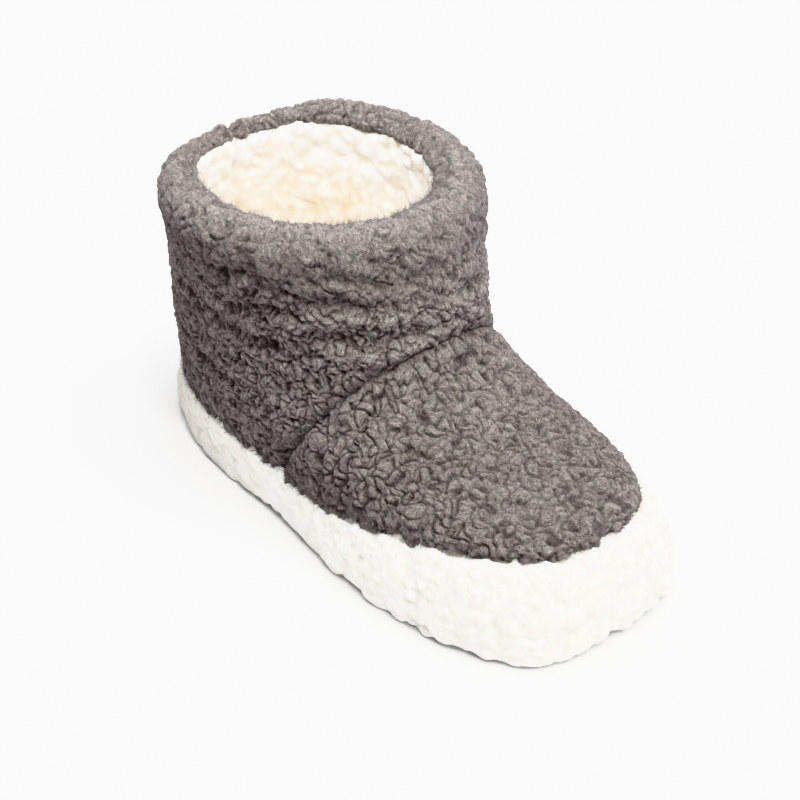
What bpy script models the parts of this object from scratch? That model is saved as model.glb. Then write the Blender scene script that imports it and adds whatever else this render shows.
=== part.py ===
"""Ankle-high slipper bootie in looped fleece, left foot, standing empty on its sole.

The upper is one hollow wall, open at the collar and underneath. A padded fleece band closes the gap
between the upper's lower edge and the floor. It runs round a flat foam outsole with an insole on top.

Metres, +Z up. +X points to the toe, +Y to the wearer's left, the lateral side. The origin is on the
floor, at the middle of the bootie's length and width. Sizes below are in millimetres.
"""

import math
from collections import namedtuple

import bmesh
import bpy
from mathutils import Vector

MM = 0.001

# Driving sizes of the upper
COLLAR_HEIGHT = 140.0  # floor to the crest of the rolled collar
COLLAR_SPRING = 131.0  # height at which the roll leaves the shaft's straight wall
EDGE_HEIGHT = 26.0  # floor to the upper's lower edge, along the heel and waist
EDGE_TOE_LIFT = 16.0  # how much higher that edge is at the toe
LIFT_FROM, LIFT_TO = -22.0, 115.0  # stretch of the foot over which the edge climbs
BACK_DIP = 6.0  # how much lower the collar's crest is at the back of the heel
DIP_FROM, DIP_TO = -92.0, -116.0  # stretch of the collar over which it falls
WAIST_AT, WAIST_SPREAD = 0.42, 0.16  # place and spread of the waist, as shares of the length
SEAM_RADIUS = 2.5  # half width, and depth, of the groove where two fleece panels are sewn together

# Driving sizes of the sole
LENGTH = 260.0  # heel to toe over the band
BALL_HALF = 58.0  # half width over the band, before its taper
BAND_BULGE_HEIGHT = 12.5  # height at which the band stands out furthest
BAND_FOOT = 0.8  # height of the band's lowest edge above the walking face
BAND_UNDERCUT = 3.0  # how far the band pulls in from its bulge to that edge
BAND_RIM = 8.0  # width of band between its bulge and the outsole
OUTSOLE_THICKNESS = 13.7
OUTSOLE_BEVEL = 1.6  # bevel round the walking face
ARCH_LIFT = 1.6  # rise of the walking face under the waist
ARCH_FROM, ARCH_TO = -62.0, 28.0  # stretch of the waist that clears the floor
TOE_SPRING = 2.0  # rise of the walking face at the tip of the toe
SPRING_FROM = 86.0  # where along the foot the toe begins to rise
INSOLE_THICKNESS = 7.5
INSOLE_CUP = 1.5  # how much lower the insole lies in the middle than at its edge
INSOLE_INSETS = (0.0, 7.0, 16.0, 26.0)  # how far in each ring of its top lies

GAP = 0.3  # clearance between pieces that meet

# Mesh density
AROUND = 72  # points round each section
END_CROWDING = 0.7  # how strongly those points gather at heel and toe
ROW_STEPS = 2  # rings made for each row of a section table
ROLL_STEPS = 6  # steps over the collar's roll
BAND_STEPS = 4  # steps over the band's shoulder, and again under its bulge
SEAM_SIDES = 8  # sides of a seam groove's round cutter
SEAM_STEPS = 3  # steps along the vamp seam for each of its points

Section = namedtuple(
    "Section",
    "height heel toe half square_heel square_toe taper waist_medial waist_lateral lift dip",
)

# Outer face of the upper. Each row is a level section through heel, foot and shaft: its height, where
# it ends at heel and toe, its half width, how square each end is (1 is an ellipse), how much wider
# the ball is than the heel, how far each side is drawn in at the waist, and its shares of the toe
# lift and of the dip at the back of the collar.
UPPER_OUTSIDE = [
    Section(EDGE_HEIGHT, -122.0, 118.5, 55.0, 0.59, 0.76, 0.11, 0.06, 0.03, 1.00, 0.0),
    Section(35.0, -123.8, 119.0, 55.5, 0.60, 0.75, 0.10, 0.05, 0.02, 0.70, 0.0),
    Section(45.0, -124.4, 109.0, 54.5, 0.62, 0.74, 0.08, 0.03, 0.01, 0.32, 0.0),
    Section(54.0, -124.4, 87.0, 53.0, 0.64, 0.72, 0.05, 0.01, 0.00, 0.08, 0.0),
    Section(63.0, -124.2, 62.0, 52.0, 0.66, 0.70, 0.03, 0.00, 0.00, 0.00, 0.0),
    Section(73.0, -124.0, 42.0, 51.5, 0.69, 0.70, 0.01, 0.00, 0.00, 0.00, 0.0),
    Section(86.0, -123.4, 31.5, 52.5, 0.73, 0.74, 0.00, 0.00, 0.00, 0.00, 0.0),
    Section(101.0, -120.9, 27.0, 56.5, 0.81, 0.82, 0.00, 0.00, 0.00, 0.00, 0.2),
    Section(117.0, -117.8, 23.0, 61.3, 0.90, 0.90, 0.00, 0.00, 0.00, 0.00, 0.6),
    Section(COLLAR_SPRING, -115.0, 19.2, 65.3, 0.96, 0.96, 0.00, 0.00, 0.00, 0.00, 1.0),
]

# Inner face of the upper, the room for the foot, read the same way.
UPPER_INSIDE = [
    Section(EDGE_HEIGHT, -110.0, 106.5, 43.0, 0.60, 0.76, 0.11, 0.06, 0.03, 1.00, 0.0),
    Section(35.0, -111.3, 100.0, 43.3, 0.61, 0.74, 0.09, 0.04, 0.02, 0.50, 0.0),
    Section(43.5, -111.8, 79.0, 42.3, 0.64, 0.72, 0.06, 0.02, 0.01, 0.16, 0.0),
    Section(51.5, -111.8, 54.5, 41.0, 0.66, 0.70, 0.03, 0.00, 0.00, 0.00, 0.0),
    Section(62.0, -111.6, 33.0, 40.0, 0.69, 0.70, 0.01, 0.00, 0.00, 0.00, 0.0),
    Section(78.0, -110.8, 20.0, 40.2, 0.73, 0.74, 0.00, 0.00, 0.00, 0.00, 0.0),
    Section(97.0, -108.6, 13.5, 42.8, 0.81, 0.82, 0.00, 0.00, 0.00, 0.00, 0.2),
    Section(115.0, -106.2, 6.5, 45.0, 0.90, 0.90, 0.00, 0.00, 0.00, 0.00, 0.6),
    Section(COLLAR_SPRING, -104.0, -1.6, 45.3, 0.96, 0.96, 0.00, 0.00, 0.00, 0.00, 1.0),
]

# Outline of the white band where it stands out furthest. It is blunter at the toe than the upper.
BAND_OUTLINE = Section(
    BAND_BULGE_HEIGHT, -LENGTH / 2, LENGTH / 2, BALL_HALF, 0.59, 0.52, 0.17, 0.10, 0.07, 0.0, 0.0
)

SeamPoint = namedtuple("SeamPoint", "height along")

# Seam between vamp and shaft, from the upper's edge to the middle of the instep: height on the upper's
# outer face, before any toe lift, and how far along the foot. Both sides are alike, and they meet at
# the last point.
VAMP_SEAM = [
    SeamPoint(EDGE_HEIGHT, -17.0),
    SeamPoint(33.5, -12.5),
    SeamPoint(48.5, -3.5),
    SeamPoint(58.0, 3.0),
    SeamPoint(68.0, 9.5),
    SeamPoint(75.0, 15.0),
    SeamPoint(82.0, 20.5),
    SeamPoint(86.0, 25.0),
    SeamPoint(89.5, 28.2),
    SeamPoint(91.0, 29.7),
]

Finish = namedtuple("Finish", "colour roughness")
GREY_FLEECE = Finish((0.115, 0.104, 0.102), 1.0)
WHITE_FLEECE = Finish((0.86, 0.83, 0.78), 1.0)
CREAM_FLEECE = Finish((0.82, 0.76, 0.66), 1.0)
FELT = Finish((0.50, 0.48, 0.46), 0.95)


def clear_scene():
    for obj in list(bpy.data.objects):
        bpy.data.objects.remove(obj, do_unlink=True)


def smooth_share(value, low, high):
    """0 below low, 1 above high, and an even S-curve between them."""
    share = min(1.0, max(0.0, (value - low) / (high - low)))
    return share * share * (3.0 - 2.0 * share)


def toe_lift(along):
    """How much higher the upper's lower edge is here than at the heel."""
    return EDGE_TOE_LIFT * smooth_share(along, LIFT_FROM, LIFT_TO)


def back_dip(along):
    """How much lower the collar is here than at the front."""
    return BACK_DIP * smooth_share(-along, -DIP_FROM, -DIP_TO)


def ground(along):
    """Height of the walking face over the floor: the waist and the toe clear it a little."""
    middle = (ARCH_FROM + ARCH_TO) / 2
    arch = smooth_share(along, ARCH_FROM, middle) - smooth_share(along, middle, ARCH_TO)
    spring = max(0.0, (along - SPRING_FROM) / (LENGTH / 2 - SPRING_FROM))
    return ARCH_LIFT * arch + TOE_SPRING * spring**2


def mix(first, second, share):
    """Section part of the way from one to another."""
    return Section(*(a + (b - a) * share for a, b in zip(first, second)))


def inset(section, amount):
    """Section drawn in by an amount all round."""
    return section._replace(
        heel=section.heel + amount, toe=section.toe - amount, half=section.half - amount
    )


def between(rows, place):
    """Section at a fractional row of a table, on a smooth curve through its rows."""
    first = min(int(place), len(rows) - 2)
    share = place - first
    low, high = rows[first], rows[first + 1]
    before = rows[first - 1] if first > 0 else mix(low, high, -1.0)
    after = rows[first + 2] if first + 2 < len(rows) else mix(low, high, 2.0)
    columns = []
    for a, b, c, d in zip(before, low, high, after):
        bend = (1.0 - share) * (a + c - 2.0 * b) + share * (b + d - 2.0 * c)
        columns.append(b + (c - b) * share - share * (1.0 - share) * bend / 2.0)
    return Section(*columns)


def ring_point(section, angle):
    """Point of a section at an angle, 0 at the heel and half a turn at the toe, lateral side first."""
    share = (1.0 - math.cos(angle)) / 2.0
    along = section.heel + share * (section.toe - section.heel)
    side = math.sin(angle)
    square = section.square_heel + (section.square_toe - section.square_heel) * share
    waist = section.waist_lateral if side >= 0.0 else section.waist_medial
    pinch = waist * math.exp(-(((share - WAIST_AT) / WAIST_SPREAD) ** 2))
    profile = abs(side) ** square * (1.0 - section.taper * math.cos(angle)) * (1.0 - pinch)
    across = math.copysign(section.half * profile, side)
    height = section.height + section.lift * toe_lift(along) - section.dip * back_dip(along)
    return Vector((along, across, height))


def ring(section, grounded=0.0):
    """Points round a section, crowded at heel and toe. Grounded is its share of the sole's rise."""
    points = []
    for step in range(AROUND):
        turn = 2.0 * math.pi * step / AROUND
        point = ring_point(section, turn - END_CROWDING / 2.0 * math.sin(2.0 * turn))
        point.z += grounded * ground(point.x)
        points.append(point)
    return points


def table_sections(rows):
    """Every section made from a table, bottom to top."""
    count = (len(rows) - 1) * ROW_STEPS
    return [between(rows, step / ROW_STEPS) for step in range(count + 1)]


def roll_sections():
    """Sections over the rolled collar, from its outer face over the crest to its inner face."""
    rise = COLLAR_HEIGHT - COLLAR_SPRING
    sections = []
    for step in range(1, ROLL_STEPS):
        turn = math.pi * step / ROLL_STEPS
        level = mix(UPPER_OUTSIDE[-1], UPPER_INSIDE[-1], (1.0 - math.cos(turn)) / 2.0)
        sections.append(level._replace(height=COLLAR_SPRING + rise * math.sin(turn)))
    return sections


def principled(name, finish):
    material = bpy.data.materials.new(name)
    material.use_nodes = True
    shader = material.node_tree.nodes["Principled BSDF"]
    shader.inputs["Base Color"].default_value = (*finish.colour, 1.0)
    shader.inputs["Roughness"].default_value = finish.roughness
    shader.inputs["Metallic"].default_value = 0.0
    return material


def add_object(name, solid):
    """Object from a finished bmesh, with its faces turned outwards."""
    bmesh.ops.recalc_face_normals(solid, faces=solid.faces[:])
    mesh = bpy.data.meshes.new(name)
    solid.to_mesh(mesh)
    solid.free()
    mesh.shade_smooth()
    obj = bpy.data.objects.new(name, mesh)
    bpy.context.scene.collection.objects.link(obj)
    return obj


def bridge(solid, lower, upper):
    """Faces between two rings of vertices."""
    for i in range(len(lower)):
        j = (i + 1) % len(lower)
        solid.faces.new((lower[i], lower[j], upper[j], upper[i]))


def join_rings(solid, rings):
    """Vertices for each ring, with faces between each ring and the next."""
    loops = [[solid.verts.new(point * MM) for point in points] for points in rings]
    for lower, upper in zip(loops, loops[1:]):
        bridge(solid, lower, upper)
    return loops


def fill_across(solid, loop):
    """Cover a ring with strips that run from its lateral to its medial side."""
    for i in range(len(loop) // 2):
        corners = (loop[i], loop[i + 1], loop[-i - 1], loop[-i])
        solid.faces.new(dict.fromkeys(corners))


def ring_solid(name, rings, finish):
    """Object whose rings close on themselves, like a tyre."""
    solid = bmesh.new()
    loops = join_rings(solid, rings)
    bridge(solid, loops[-1], loops[0])
    obj = add_object(name, solid)
    obj.data.materials.append(principled(name, finish))
    return obj


def slab_solid(name, rings, finish):
    """Object whose first and last ring are filled, like a sole."""
    solid = bmesh.new()
    loops = join_rings(solid, rings)
    fill_across(solid, loops[0])
    fill_across(solid, loops[-1])
    obj = add_object(name, solid)
    obj.data.materials.append(principled(name, finish))
    return obj


def row_at(rows, height):
    """Place among a table's rows of a height."""
    for place, (low, high) in enumerate(zip(rows, rows[1:])):
        if height <= high.height:
            return place + (height - low.height) / (high.height - low.height)
    return len(rows) - 1.0


def vamp_seam_path():
    """Points of the vamp seam on the upper's outer face, from one side of the sole to the other."""
    lateral, medial = [], []
    for start, end in zip(VAMP_SEAM, VAMP_SEAM[1:]):
        for step in range(SEAM_STEPS):
            share = step / SEAM_STEPS
            height = start.height + (end.height - start.height) * share
            section = between(UPPER_OUTSIDE, row_at(UPPER_OUTSIDE, height))
            along = start.along + (end.along - start.along) * share
            reach = min(1.0, (along - section.heel) / (section.toe - section.heel))
            angle = math.acos(1.0 - 2.0 * reach)
            lateral.append(ring_point(section, angle))
            medial.append(ring_point(section, -angle))
    path = lateral + medial[::-1]
    return [2.0 * path[0] - path[1], *path, 2.0 * path[-1] - path[-2]]


def back_seam_path():
    """Points of the seam up the middle of the heel and over the collar's crest."""
    sections = table_sections(UPPER_OUTSIDE) + roll_sections()
    path = [ring_point(section, 0.0) for section in sections]
    return [2.0 * path[0] - path[1], *path]


def seam_cutter(name, path):
    """Round rod along a seam. It lies half in the wall, so it cuts a groove as deep as its radius."""
    rings = []
    across = (path[1] - path[0]).orthogonal()
    for i, point in enumerate(path):
        ahead = (path[min(i + 1, len(path) - 1)] - path[max(i - 1, 0)]).normalized()
        across = (across - ahead * across.dot(ahead)).normalized()
        turned = ahead.cross(across)
        turns = [2.0 * math.pi * step / SEAM_SIDES for step in range(SEAM_SIDES)]
        rings.append(
            [point + SEAM_RADIUS * (across * math.cos(t) + turned * math.sin(t)) for t in turns]
        )
    solid = bmesh.new()
    loops = join_rings(solid, rings)
    solid.faces.new(loops[0])
    solid.faces.new(loops[-1])
    cutter = add_object(name, solid)
    cutter.hide_render = True
    cutter.display_type = "WIRE"
    return cutter


def upper():
    """The hollow wall: outer face, collar roll, inner face, and the flat edge that sits on the band."""
    sections = table_sections(UPPER_OUTSIDE) + roll_sections() + table_sections(UPPER_INSIDE)[::-1]
    obj = ring_solid("upper", [ring(section) for section in sections], GREY_FLEECE)
    for name, path in (("vamp_seam", vamp_seam_path()), ("back_seam", back_seam_path())):
        groove = obj.modifiers.new(name, "BOOLEAN")
        groove.object = seam_cutter(name + "_cutter", path)
    return obj


def sidewall_band():
    """The padded band, in one turn round its section: up from the floor over its bulge and shoulder
    to the upper's edge, down its inner face, and out over the outsole's rim to the floor."""
    foot = inset(BAND_OUTLINE, BAND_UNDERCUT)
    ledge = UPPER_OUTSIDE[0]._replace(height=EDGE_HEIGHT - GAP)
    inner = UPPER_INSIDE[0]
    rim = inset(BAND_OUTLINE, BAND_RIM - GAP)
    seat = OUTSOLE_THICKNESS + GAP
    rings = []
    for step in range(BAND_STEPS, 0, -1):
        turn = math.pi / 2.0 * step / BAND_STEPS
        drop = (BAND_BULGE_HEIGHT - BAND_FOOT) * math.sin(turn)
        level = mix(BAND_OUTLINE, foot, 1.0 - math.cos(turn))
        rings.append(ring(level._replace(height=BAND_BULGE_HEIGHT - drop), math.sin(turn)))
    for step in range(BAND_STEPS + 1):
        turn = math.pi / 2.0 * step / BAND_STEPS
        climb = (ledge.height - BAND_BULGE_HEIGHT) * math.sin(turn)
        level = mix(BAND_OUTLINE, ledge, 1.0 - math.cos(turn))
        rings.append(ring(level._replace(height=BAND_BULGE_HEIGHT + climb, lift=math.sin(turn))))
    rings.append(ring(inner._replace(height=EDGE_HEIGHT - GAP)))
    rings.append(ring(inner._replace(height=seat, lift=0.0)))
    rings.append(ring(rim._replace(height=seat)))
    rings.append(ring(rim._replace(height=BAND_FOOT), 1.0))
    return ring_solid("sidewall_band", rings, WHITE_FLEECE)


def outsole():
    """The foam sole: a walking face with a bevelled rim, arched at the waist and sprung at the toe."""
    outline = inset(BAND_OUTLINE, BAND_RIM)
    rings = [
        ring(inset(outline, OUTSOLE_BEVEL)._replace(height=0.0), 1.0),
        ring(outline._replace(height=OUTSOLE_BEVEL), 1.0),
        ring(outline._replace(height=OUTSOLE_THICKNESS)),
    ]
    return slab_solid("outsole", rings, FELT)


def insole():
    """The footbed inside the band, a little cupped."""
    outline = inset(UPPER_INSIDE[0], GAP)._replace(height=OUTSOLE_THICKNESS + GAP, lift=0.0)
    top = outline.height + INSOLE_THICKNESS
    rings = [ring(outline)]
    for amount in INSOLE_INSETS:
        cup = INSOLE_CUP * smooth_share(amount, INSOLE_INSETS[0], INSOLE_INSETS[-1])
        rings.append(ring(inset(outline, amount)._replace(height=top - cup)))
    return slab_solid("insole", rings, CREAM_FLEECE)


def main():
    clear_scene()
    upper()
    sidewall_band()
    outsole()
    insole()


main()
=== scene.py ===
"""Looks of an ankle-high slipper bootie in looped fleece, left foot, on a plain pale floor.

Each fleece piece is a closed shell over the bootie's own sections. Its face is raised into the curled
locks of the pile, and loose fibres stand on it. Sizes are in millimetres until a mesh is made.
"""

import itertools
import math
from collections import namedtuple

import bmesh
import bpy
import numpy as np
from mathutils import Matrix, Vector
from mathutils.kdtree import KDTree


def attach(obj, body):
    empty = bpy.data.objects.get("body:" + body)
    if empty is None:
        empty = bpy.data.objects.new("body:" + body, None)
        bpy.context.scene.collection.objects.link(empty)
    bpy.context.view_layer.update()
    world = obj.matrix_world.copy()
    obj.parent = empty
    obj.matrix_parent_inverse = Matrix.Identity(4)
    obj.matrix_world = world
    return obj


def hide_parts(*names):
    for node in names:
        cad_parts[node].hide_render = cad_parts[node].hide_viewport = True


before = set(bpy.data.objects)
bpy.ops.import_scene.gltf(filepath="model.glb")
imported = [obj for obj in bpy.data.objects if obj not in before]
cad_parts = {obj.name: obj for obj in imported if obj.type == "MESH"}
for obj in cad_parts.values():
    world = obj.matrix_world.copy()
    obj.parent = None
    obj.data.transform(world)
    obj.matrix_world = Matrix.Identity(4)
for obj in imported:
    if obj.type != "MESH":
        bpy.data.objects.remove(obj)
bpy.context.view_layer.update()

MM = 0.001
AHEAD, LEFT, UP = (1.0, 0.0, 0.0), (0.0, 1.0, 0.0), (0.0, 0.0, 1.0)
HEEL, MEDIAL, TOE = 0.0, -math.pi / 2.0, math.pi  # angles round a section
SAME_POINT, LEAST_LENGTH = 1e-6, 1e-9  # closer points are one, and shorter lengths don't divide

# Sizes of the bootie, the same as those of its solids
COLLAR_HEIGHT = 140.0
COLLAR_SPRING = 131.0
EDGE_HEIGHT = 26.0
EDGE_TOE_LIFT = 16.0
LIFT_FROM, LIFT_TO = -22.0, 115.0
BACK_DIP = 6.0
DIP_FROM, DIP_TO = -92.0, -116.0
WAIST_AT, WAIST_SPREAD = 0.42, 0.16
LENGTH = 260.0
BALL_HALF = 58.0
BAND_BULGE_HEIGHT = 12.5
BAND_FOOT = 0.8
BAND_UNDERCUT = 3.0
BAND_RIM = 8.0
OUTSOLE_THICKNESS = 13.7
OUTSOLE_BEVEL = 1.6
ARCH_LIFT = 1.6
ARCH_FROM, ARCH_TO = -62.0, 28.0
TOE_SPRING = 2.0
SPRING_FROM = 86.0
INSOLE_THICKNESS = 7.5
INSOLE_CUP = 1.5
GAP = 0.3

Section = namedtuple(
    "Section",
    "height heel toe half square_heel square_toe taper waist_medial waist_lateral lift dip",
)

# Level sections of the upper's outer and inner face, bottom to top
UPPER_OUTSIDE = [
    Section(EDGE_HEIGHT, -122.0, 118.5, 55.0, 0.59, 0.76, 0.11, 0.06, 0.03, 1.00, 0.0),
    Section(35.0, -123.8, 119.0, 55.5, 0.60, 0.75, 0.10, 0.05, 0.02, 0.70, 0.0),
    Section(45.0, -124.4, 109.0, 54.5, 0.62, 0.74, 0.08, 0.03, 0.01, 0.32, 0.0),
    Section(54.0, -124.4, 87.0, 53.0, 0.64, 0.72, 0.05, 0.01, 0.00, 0.08, 0.0),
    Section(63.0, -124.2, 62.0, 52.0, 0.66, 0.70, 0.03, 0.00, 0.00, 0.00, 0.0),
    Section(73.0, -124.0, 42.0, 51.5, 0.69, 0.70, 0.01, 0.00, 0.00, 0.00, 0.0),
    Section(86.0, -123.4, 31.5, 52.5, 0.73, 0.74, 0.00, 0.00, 0.00, 0.00, 0.0),
    Section(101.0, -120.9, 27.0, 56.5, 0.81, 0.82, 0.00, 0.00, 0.00, 0.00, 0.2),
    Section(117.0, -117.8, 23.0, 61.3, 0.90, 0.90, 0.00, 0.00, 0.00, 0.00, 0.6),
    Section(COLLAR_SPRING, -115.0, 19.2, 65.3, 0.96, 0.96, 0.00, 0.00, 0.00, 0.00, 1.0),
]
UPPER_INSIDE = [
    Section(EDGE_HEIGHT, -110.0, 106.5, 43.0, 0.60, 0.76, 0.11, 0.06, 0.03, 1.00, 0.0),
    Section(35.0, -111.3, 100.0, 43.3, 0.61, 0.74, 0.09, 0.04, 0.02, 0.50, 0.0),
    Section(43.5, -111.8, 79.0, 42.3, 0.64, 0.72, 0.06, 0.02, 0.01, 0.16, 0.0),
    Section(51.5, -111.8, 54.5, 41.0, 0.66, 0.70, 0.03, 0.00, 0.00, 0.00, 0.0),
    Section(62.0, -111.6, 33.0, 40.0, 0.69, 0.70, 0.01, 0.00, 0.00, 0.00, 0.0),
    Section(78.0, -110.8, 20.0, 40.2, 0.73, 0.74, 0.00, 0.00, 0.00, 0.00, 0.0),
    Section(97.0, -108.6, 13.5, 42.8, 0.81, 0.82, 0.00, 0.00, 0.00, 0.00, 0.2),
    Section(115.0, -106.2, 6.5, 45.0, 0.90, 0.90, 0.00, 0.00, 0.00, 0.00, 0.6),
    Section(COLLAR_SPRING, -104.0, -1.6, 45.3, 0.96, 0.96, 0.00, 0.00, 0.00, 0.00, 1.0),
]
BAND_OUTLINE = Section(
    BAND_BULGE_HEIGHT, -LENGTH / 2, LENGTH / 2, BALL_HALF, 0.59, 0.52, 0.17, 0.10, 0.07, 0.0, 0.0
)
OUTSIDE_HEIGHTS = [row.height for row in UPPER_OUTSIDE]

# Seam between vamp and shaft: height on the upper's outer face, and how far along the foot
SEAM_HEIGHT = (EDGE_HEIGHT, 33.5, 48.5, 58.0, 68.0, 75.0, 82.0, 86.0, 89.5, 91.0)
SEAM_ALONG = (-17.0, -12.5, -3.5, 3.0, 9.5, 15.0, 20.5, 25.0, 28.2, 29.7)
SEAM_OVERLAP = 2.5  # how far the vamp runs on under the shaft
UNDERLAP_SLOPE = 0.6  # how steeply it sinks there

# Places on the wall's profile, counted in table rows: up the outer face, over the roll, down inside
SEAM_TOP_PLACE = np.interp(SEAM_HEIGHT[-1], OUTSIDE_HEIGHTS, range(len(OUTSIDE_HEIGHTS)))
ROLL_PLACE = len(UPPER_OUTSIDE) - 1.0
LIP_PLACE = ROLL_PLACE + 1.0
FLOOR_PLACE = LIP_PLACE + len(UPPER_INSIDE) - 1.0
VAMP_END = SEAM_TOP_PLACE + 0.12
TUBE_END = LIP_PLACE + 0.05
LINING_START = LIP_PLACE - 0.2
LINING_END = FLOOR_PLACE + 1.0  # behind the insole
COLLAR_START = 8.0  # where the shaft's piece ends and the collar's begins
ROLLED_FROM, ROLLED_TO = 7.2, 8.8  # where the shaft's pile turns into the collar's

# Places on the band's profile, which starts at 0 behind the upper's edge: the ledge under that edge,
# the bulge and the floor. The outsole's rim is one place further, and the band ends just before it.
LEDGE_PLACE, BULGE_PLACE, FOOT_PLACE = 1.0, 2.0, 3.0
BAND_END = 3.8
LEDGE_INSET, LEDGE_DROP = 0.4, 1.0  # from the upper's lower edge
BEHIND_INSET, BEHIND_RISE = 3.0, 5.0  # from that edge too
FLOOR_CLEARANCE = 0.2  # the lowest that the band's face reaches

# How a cover of fleece is made: the seed of its random numbers, how far apart the rows of its face
# lie, how many columns it has, how far inside the wall its back lies, and in how many rows
Cover = namedtuple("Cover", "seed pitch columns depth back_rows")
TUBE = Cover(11, 0.6, 690, 4.5, 6)
VAMP = Cover(13, 0.66, 900, 6.5, 6)
LINING = Cover(14, 1.05, 300, 5.0, 10)
BAND = Cover(15, 0.85, 720, 5.0, 2)

# Sheets of the sole, made of rings from their outline in to their middle
INSOLE_SEED = 16
INSOLE_RINGS, OUTSOLE_RINGS = 36, 24
SHEET_COLUMNS = 280
SHEET_MIDDLE = 0.3  # half the width of the last ring
INSOLE_LAP = 1.5  # how far the footbed's cover runs under the lining
CUP_REACH = 26.0  # how far in from its edge the footbed sinks

# Points in which a profile, a section and the lines of seams and folds are measured
PROFILE_STEPS, ROUND_STEPS = 3000, 6000
SEAM_STEPS, TUBE_BACK_STEPS, LINING_BACK_STEPS, CREASE_STEPS = 400, 300, 200, 120

# Seams and lips, where a piece is drawn in, and soft folds of the shaft. A fold has the points that it
# runs through, as degrees from the heel, medial side negative, and height.
Groove = namedtuple("Groove", "depth width")
VAMP_SEAM = Groove(3.4, 5.0)
BACK_SEAM = Groove(2.4, 2.0)
LINING_SEAM = Groove(3.0, 2.5)
COLLAR_LIP = Groove(6.0, 6.0)
LINING_LIP = Groove(4.0, 8.0)
BAND_LIP = Groove(2.0, 8.0)
Crease = namedtuple("Crease", "depth width points")
CREASES = [
    Crease(1.8, 3.0, [(-116, 118), (-121, 117), (-131, 113), (-143, 114), (-156, 111.5), (-163, 112)]),
    Crease(1.6, 2.6, [(-140, 125), (-147, 124), (-156, 122), (-162, 118.5), (-169, 120), (-180, 121)]),
    Crease(1.5, 2.6, [(-98, 117), (-106, 120), (-115, 124)]),
    Crease(1.6, 2.8, [(-92, 101), (-105, 102.5), (-119, 108), (-126, 108)]),
    Crease(1.8, 3.2, [(-128, 97), (-142, 99), (-158, 97.5), (-172, 99)]),
    Crease(1.5, 3.0, [(-60, 92), (-78, 88), (-97, 85), (-110, 86)]),
    Crease(1.4, 3.0, [(-35, 60), (-55, 55), (-78, 56)]),
    Crease(1.7, 3.0, [(170, 107), (155, 106), (138, 110), (124, 109)]),
    Crease(1.6, 3.0, [(112, 98), (96, 96), (78, 99)]),
    Crease(1.5, 3.0, [(100, 80), (80, 76), (58, 79)]),
]
RIDGE_HEIGHT, RIDGE_PLACE = 0.4, 2.2  # of the ridge along a fold, as shares of its depth and width

# Ragged lower edge of the grey fleece
HEM_DEPTH = 6.0  # how far up its raggedness and its hanging fibres reach
HEM_DROP, HEM_SWELL = 0.8, 11.0  # how far it hangs, and the length of its swells
NICK_HEIGHT, NICK_WIDTH = 4.0, 3.5  # of the nick at each foot of the vamp seam

# How the pile lies on a piece: how far apart its locks grow, their length and width, how high they
# stand, how deep the cleft round each is, how far they turn from the way they lie, and how much
# their sizes differ. Locks grow on clumps, and all the locks of a clump lie much the same way.
Pile = namedtuple("Pile", "spacing length width height cleft tangle spread")
SHAFT_CLUMPS = Pile(7.0, 13.0, 10.0, 1.0, 0.7, 1.3, 0.40)
SHAFT_LOCKS = Pile(2.7, 6.2, 4.0, 1.2, 0.8, 0.8, 0.40)
COLLAR_CLUMPS = Pile(7.5, 14.0, 11.0, 1.5, 0.5, 0.7, 0.40)
COLLAR_LOCKS = Pile(3.2, 8.5, 4.6, 1.05, 0.5, 0.7, 0.40)
VAMP_CLUMPS = Pile(7.0, 12.5, 10.5, 0.75, 0.5, 1.57, 0.40)
VAMP_LOCKS = Pile(3.3, 7.2, 5.5, 1.1, 0.9, 0.9, 0.36)
BAND_CLUMPS = Pile(10.0, 16.0, 14.0, 1.8, 0.6, 1.57, 0.40)
BAND_LOCKS = Pile(3.9, 7.6, 6.0, 1.2, 0.6, 1.57, 0.40)
LINING_CLUMPS = Pile(12.0, 20.0, 17.0, 1.7, 0.5, 1.2, 0.40)
LINING_LOCKS = Pile(5.4, 9.5, 8.0, 0.95, 0.5, 1.57, 0.40)
INSOLE_CLUMPS = Pile(14.0, 22.0, 19.0, 1.4, 0.5, 1.57, 0.40)

# Form of every lock
NEAR_LOCKS = 8  # how many of the nearest locks a point may lie on
DOME_POWER = 0.6  # how flat a lock's top is
CLEFT_WIDTH = 0.42  # a cleft lies where two locks come this close in height, as a share of the pile's
CLEFT_LEAST, CLEFT_RANGE = 0.2, 1.8  # the shallowest cleft, and how much deeper others are
LOCK_WARP = 0.16  # how far a lock's outline wanders, as a share of its width
WARP_SWELL = 1.6  # length of those wanderings, as a share of its width
LOCK_BOW = 0.5  # how far a lock is bent, as a share of half its length
HEIGHT_RANGE = 0.5  # how much locks differ in height, as a share of how they differ in length
LOCK_SEED_STEP = 7.3  # keeps the fibre pattern of each lock apart from its neighbours'
WAVE_COUNT = 24  # waves that make up a random field
WAVE_RANGE = (0.6, 1.4)  # how much they differ in length

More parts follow.
